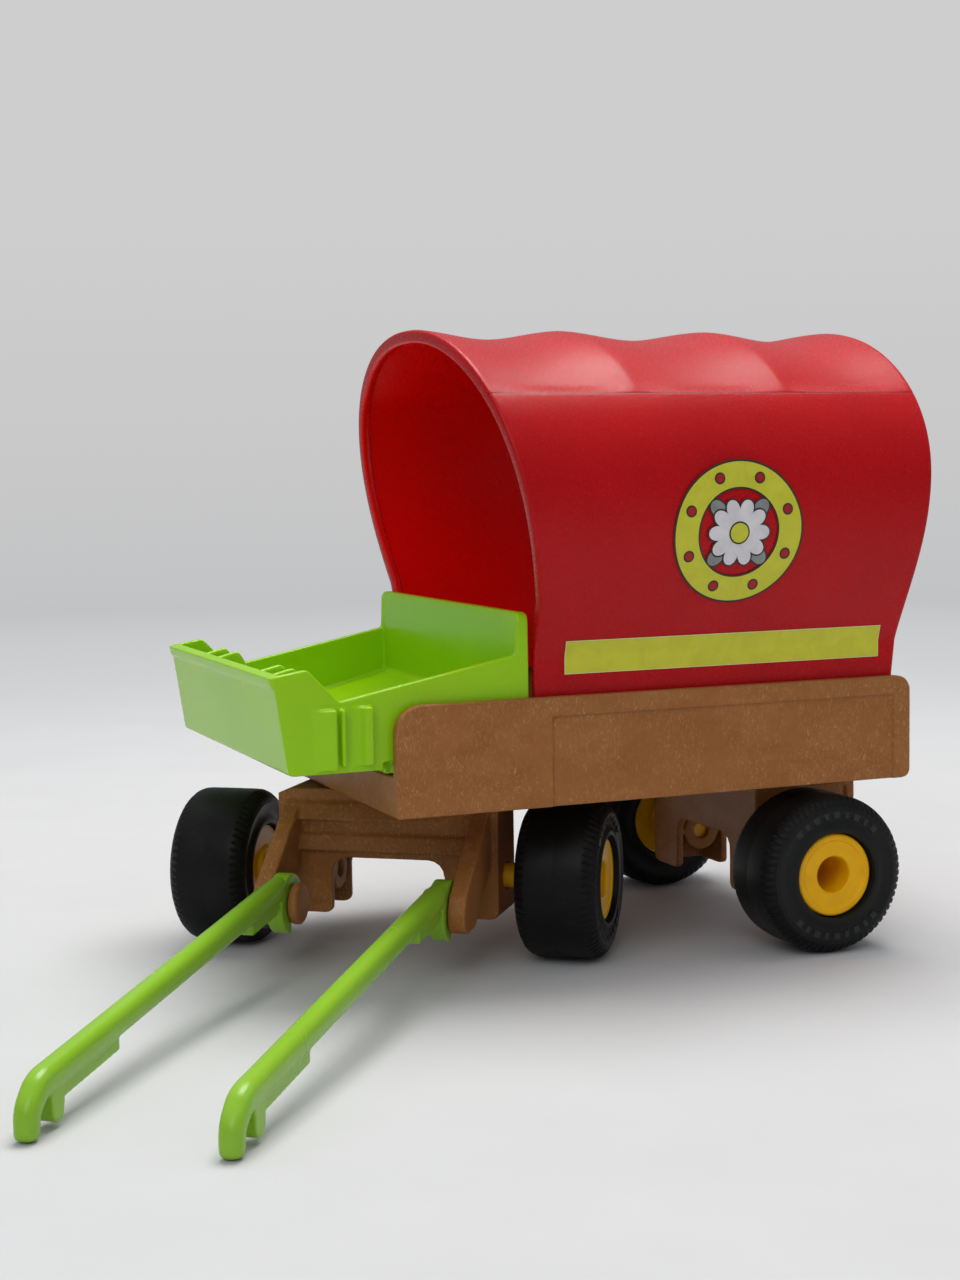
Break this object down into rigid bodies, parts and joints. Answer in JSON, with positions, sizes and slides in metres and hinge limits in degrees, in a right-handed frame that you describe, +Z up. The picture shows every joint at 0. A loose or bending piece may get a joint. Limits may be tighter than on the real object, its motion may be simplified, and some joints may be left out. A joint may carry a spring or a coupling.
{
  "type": "toy covered wagon",
  "caption": "Toy covered wagon: bed on rubber wheels, steering front bogie with hinged shafts, seat box and lift-off bulging tilt cover.",
  "frame": {"origin": "middle of the bounding box on the floor, with the bogie turned as stored", "axes": "+Z up; -Y is the wagon's forward direction; +X is the wagon's left side"},
  "size_m": [0.1802, 0.2182, 0.1422],
  "materials": {
    "brown_plastic": "brown plastic with a fine lighter fleck, satin",
    "green_plastic": "glossy green plastic",
    "red_plastic": "dark red plastic with a fine satin grain",
    "yellow_plastic": "glossy yellow plastic",
    "black_rubber": "matt black rubber",
    "lime_sticker": "printed film, yellow-green",
    "printed_sticker": null
  },
  "bodies": {
    "wagon": {"wagon_bed": "brown_plastic", "rear_axle_carrier": "brown_plastic", "seat_box": "green_plastic"},
    "cover": {"canopy": "red_plastic", "stripe_sticker_left": "lime_sticker", "stripe_sticker_right": "lime_sticker", "badge_sticker_left": "printed_sticker", "badge_sticker_right": "printed_sticker"},
    "bogie": {"front_bogie": "brown_plastic"},
    "wheel_front_left": {"hub_front_left": "yellow_plastic", "tyre_front_left": "black_rubber"},
    "wheel_front_right": {"hub_front_right": "yellow_plastic", "tyre_front_right": "black_rubber"},
    "wheel_rear_left": {"hub_rear_left": "yellow_plastic", "tyre_rear_left": "black_rubber"},
    "wheel_rear_right": {"hub_rear_right": "yellow_plastic", "tyre_rear_right": "black_rubber"},
    "left_shaft": {"shaft_left": "green_plastic"},
    "right_shaft": {"shaft_right": "green_plastic"}
  },
  "joints": [
    {"name": "canopy_lift", "type": "slide", "parent": "wagon", "child": "cover", "axis": [0, 0, 1], "range_m": [0, 0.09]},
    {"name": "steer", "type": "hinge", "parent": "wagon", "child": "bogie", "pos_m": [-0.03786, -0.00354, 0.038], "axis": [0, 0, 1], "range_deg": [-142.2, 37.8]},
    {"name": "wheel_front_left_spin", "type": "hinge", "parent": "bogie", "child": "wheel_front_left", "pos_m": [-0.01267, 0.02894, 0.018], "axis": [0.6129, 0.7902, 0], "continuous": true},
    {"name": "wheel_front_right_spin", "type": "hinge", "parent": "bogie", "child": "wheel_front_right", "pos_m": [-0.06305, -0.03601, 0.018], "axis": [0.6129, 0.7902, 0], "continuous": true},
    {"name": "wheel_rear_left_spin", "type": "hinge", "parent": "wagon", "child": "wheel_rear_left", "pos_m": [0.00324, 0.08356, 0.018], "axis": [1, 0, 0], "continuous": true},
    {"name": "wheel_rear_right_spin", "type": "hinge", "parent": "wagon", "child": "wheel_rear_right", "pos_m": [-0.07896, 0.08356, 0.018], "axis": [1, 0, 0], "continuous": true},
    {"name": "shaft_left_hinge", "type": "hinge", "parent": "bogie", "child": "left_shaft", "pos_m": [-0.00716, -0.00394, 0.0148], "axis": [-0.6129, -0.7902, 0], "range_deg": [0, 35]},
    {"name": "shaft_right_hinge", "type": "hinge", "parent": "bogie", "child": "right_shaft", "pos_m": [-0.02984, -0.03317, 0.0148], "axis": [-0.6129, -0.7902, 0], "range_deg": [0, 35]}
  ]
}
